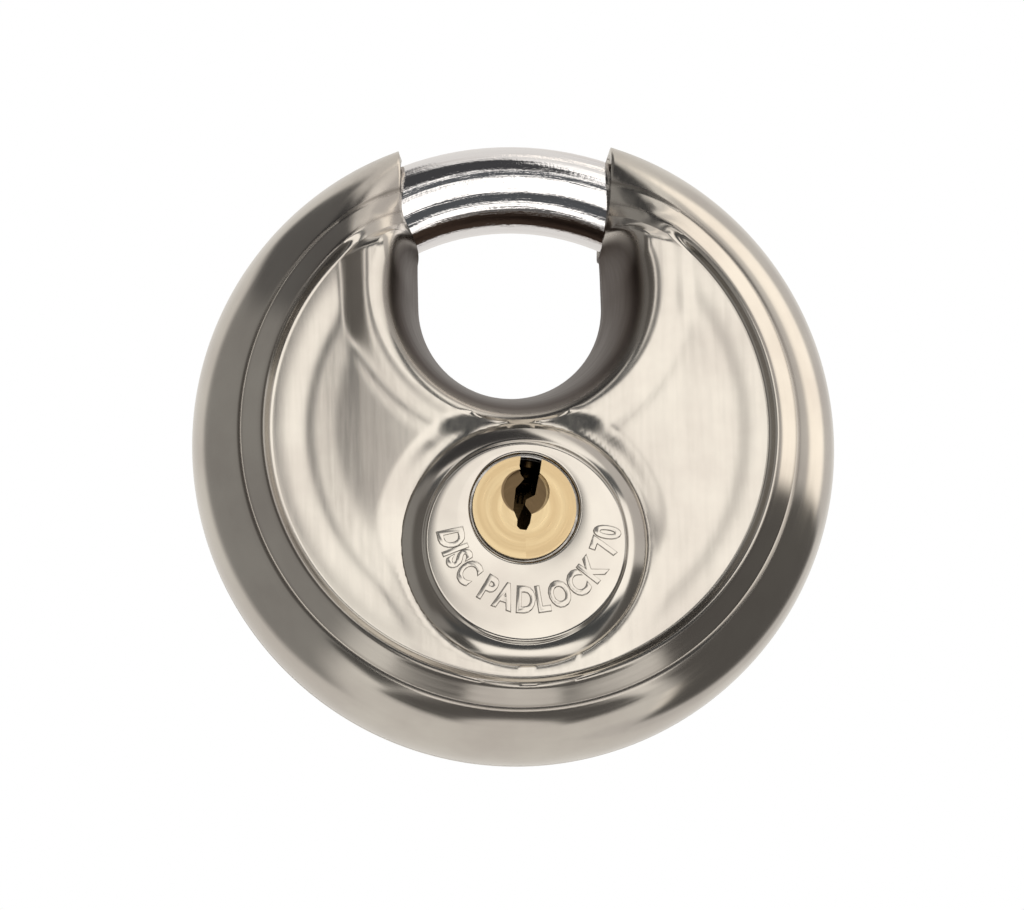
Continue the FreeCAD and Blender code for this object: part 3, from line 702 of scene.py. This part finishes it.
def makeWorld():
    world = bpy.data.worlds.new("studio")
    bpy.context.scene.world = world
    world.use_nodes = True
    t = Tree(world.node_tree)
    way = t.add("ShaderNodeTexCoord").outputs["Generated"]
    parts = t.add("ShaderNodeSeparateXYZ", {0: way}).outputs
    front = t.math("MULTIPLY", parts[1], -1.0)
    azimuth = t.math("MULTIPLY", t.math("ARCTAN2", parts[0], front), 180 / math.pi)
    elevation = t.math("MULTIPLY", t.math("ARCSINE", parts[2]), 180 / math.pi)
    level = t.ramp(front, *baseLight["turn"], baseLight["behind"], baseLight["front"])
    sky = t.mixColor(1.0, t.add("ShaderNodeCombineColor", {0: level, 1: level, 2: level}).outputs[0],
                     baseLight["tint"], "MULTIPLY")
    for az, el, halfAz, halfEl, soft, colour, power in softBoxes:
        away = t.math("ABSOLUTE", t.math("SUBTRACT", azimuth, az))
        high = t.math("ABSOLUTE", t.math("SUBTRACT", elevation, el))
        mask = t.math("MULTIPLY", t.ramp(away, halfAz, halfAz + soft, 1.0, 0.0),
                      t.ramp(high, halfEl, halfEl + soft, 1.0, 0.0))
        sky = t.mixColor(mask, sky, tuple(c * power for c in colour) + (1,))
    seen = t.add("ShaderNodeLightPath").outputs["Is Camera Ray"]
    studio = t.add("ShaderNodeBackground", {"Color": sky, "Strength": 1.0})
    backdrop = t.add("ShaderNodeBackground", {"Color": (1, 1, 1, 1), "Strength": 1.0})
    both = t.add("ShaderNodeMixShader", {0: seen, 1: studio.outputs[0], 2: backdrop.outputs[0]})
    t.add("ShaderNodeOutputWorld", {"Surface": both.outputs[0]})


makeWorld()
floorSet = {"half": 1.5, "gap": 0.0002, "tone": (0.86, 0.86, 0.86, 1)}


# pale floor under the lock, clear when seen from below
def makeFloor(values):
    bm = bmesh.new()
    bmesh.ops.create_grid(bm, x_segments=1, y_segments=1, size=values["half"])
    for vert in bm.verts:
        vert.co.z = cadBox[0][2] - values["gap"]
    mesh = bpy.data.meshes.new("floor")
    bm.to_mesh(mesh)
    bm.free()
    floor = bpy.data.objects.new("floor", mesh)
    bpy.context.scene.collection.objects.link(floor)
    material = bpy.data.materials.new("paleFloor")
    material.use_nodes = True
    t = Tree(material.node_tree)
    below = t.add("ShaderNodeNewGeometry").outputs["Backfacing"]
    pale = t.add("ShaderNodeBsdfDiffuse", {"Color": values["tone"]})
    clear = t.add("ShaderNodeBsdfTransparent")
    both = t.add("ShaderNodeMixShader", {0: below, 1: pale.outputs[0], 2: clear.outputs[0]})
    t.add("ShaderNodeOutputMaterial", {"Surface": both.outputs[0]})
    mesh.materials.append(material)
    floor.visible_glossy = False


makeFloor(floorSet)
overheadSet = {"height": 0.9, "size": 1.2, "power": 5.0}


# one soft light over the floor, which the metal doesn't mirror
def makeOverhead(values):
    data = bpy.data.lights.new("overhead", "AREA")
    data.shape = "DISK"
    data.size = values["size"]
    data.energy = values["power"]
    light = bpy.data.objects.new("overhead", data)
    light.location = (0, 0, values["height"])
    light.visible_glossy = False
    light.visible_camera = False
    bpy.context.scene.collection.objects.link(light)


makeOverhead(overheadSet)
print("stage: studio")
